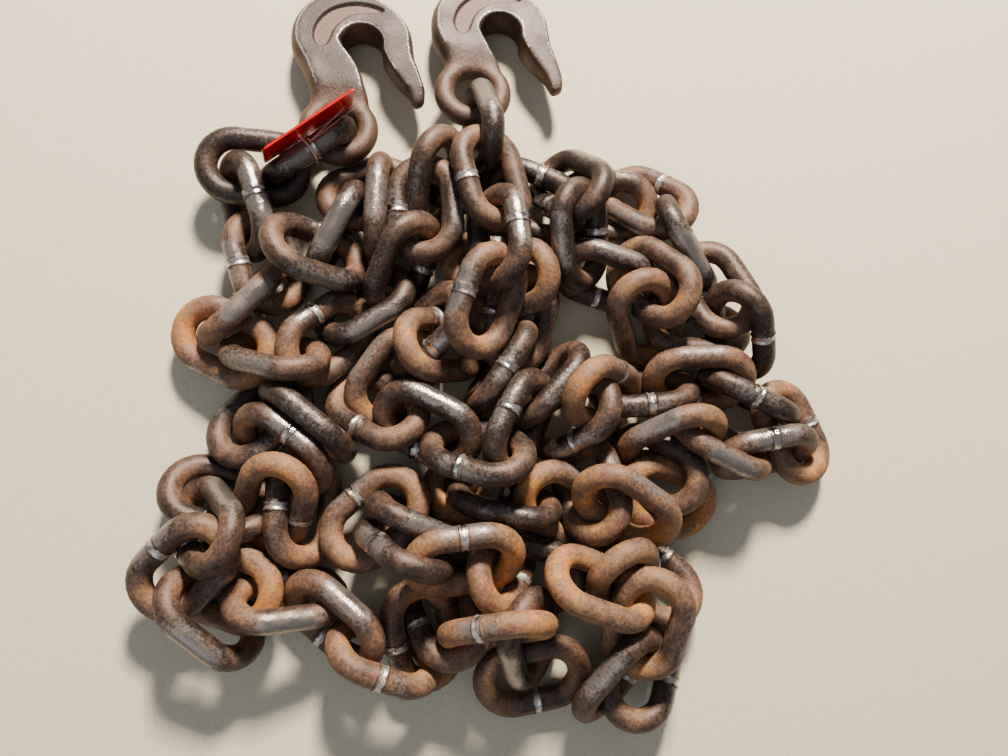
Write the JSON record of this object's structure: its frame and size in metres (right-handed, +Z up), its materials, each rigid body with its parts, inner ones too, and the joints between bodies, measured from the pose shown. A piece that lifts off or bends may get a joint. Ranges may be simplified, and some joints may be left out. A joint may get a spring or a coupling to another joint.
{
  "type": "heap of steel chain with eye hooks",
  "caption": "Low, loose heap of rusty welded steel chain lying on the ground, a forged eye hook on either end and a small red tag tied near one hook.",
  "frame": {"origin": "on the floor under the middle of the heap's box", "axes": "+Z up; -Y the side the picture was taken from, +Y the side the hooks point to; +X to the right of the picture"},
  "size_m": [0.4804, 0.5458, 0.0833],
  "materials": {
    "rusty_chain_steel_a": "rusted and worn, matt",
    "rusty_chain_steel_b": "rusted and worn, matt",
    "rusty_chain_steel_c": "rusted and worn, matt",
    "rusty_chain_steel_d": "rusted and worn, matt",
    "rusty_chain_steel_e": "rusted and worn, matt",
    "forged_steel": "forged, weathered, edges worn bright",
    "red_tag_plastic": "glossy, lets light through",
    "clear_tie_plastic": "glossy, clear"
  },
  "bodies": {
    "root": {"chain_run_01": "rusty_chain_steel_a", "chain_run_02": "rusty_chain_steel_b", "chain_run_03": "rusty_chain_steel_c", "chain_run_04": "rusty_chain_steel_d", "chain_run_05": "rusty_chain_steel_e", "chain_run_06": "rusty_chain_steel_a", "chain_run_07": "rusty_chain_steel_b", "chain_run_08": "rusty_chain_steel_c", "chain_run_09": "rusty_chain_steel_d", "chain_run_10": "rusty_chain_steel_e", "chain_run_11": "rusty_chain_steel_a", "chain_run_12": "rusty_chain_steel_b", "chain_run_13": "rusty_chain_steel_c", "chain_run_14": "rusty_chain_steel_d", "chain_run_15": "rusty_chain_steel_e", "chain_run_16": "rusty_chain_steel_a", "chain_run_17": "rusty_chain_steel_b", "chain_run_18": "rusty_chain_steel_c", "chain_run_19": "rusty_chain_steel_d", "chain_run_20": "rusty_chain_steel_e", "chain_run_21": "rusty_chain_steel_a", "chain_run_22": "rusty_chain_steel_b", "chain_run_23": "rusty_chain_steel_c", "chain_run_24": "rusty_chain_steel_d", "chain_run_25": "rusty_chain_steel_e", "chain_run_26": "rusty_chain_steel_a", "chain_run_27": "rusty_chain_steel_b", "chain_run_28": "rusty_chain_steel_c", "chain_run_29": "rusty_chain_steel_d", "chain_run_30": "rusty_chain_steel_e", "chain_run_31": "rusty_chain_steel_a", "chain_run_32": "rusty_chain_steel_b", "chain_run_33": "rusty_chain_steel_c", "chain_run_34": "rusty_chain_steel_d", "chain_run_35": "rusty_chain_steel_e", "chain_run_36": "rusty_chain_steel_a", "chain_run_37": "rusty_chain_steel_b", "chain_run_38": "rusty_chain_steel_c", "chain_run_39": "rusty_chain_steel_d", "chain_run_40": "rusty_chain_steel_e", "chain_run_41": "rusty_chain_steel_a", "chain_run_42": "rusty_chain_steel_b", "chain_run_43": "rusty_chain_steel_c", "chain_run_44": "rusty_chain_steel_d", "hook_left": "forged_steel", "hook_right": "forged_steel", "tag": "red_tag_plastic", "tag_tie": "clear_tie_plastic"}
  },
  "joints": []
}
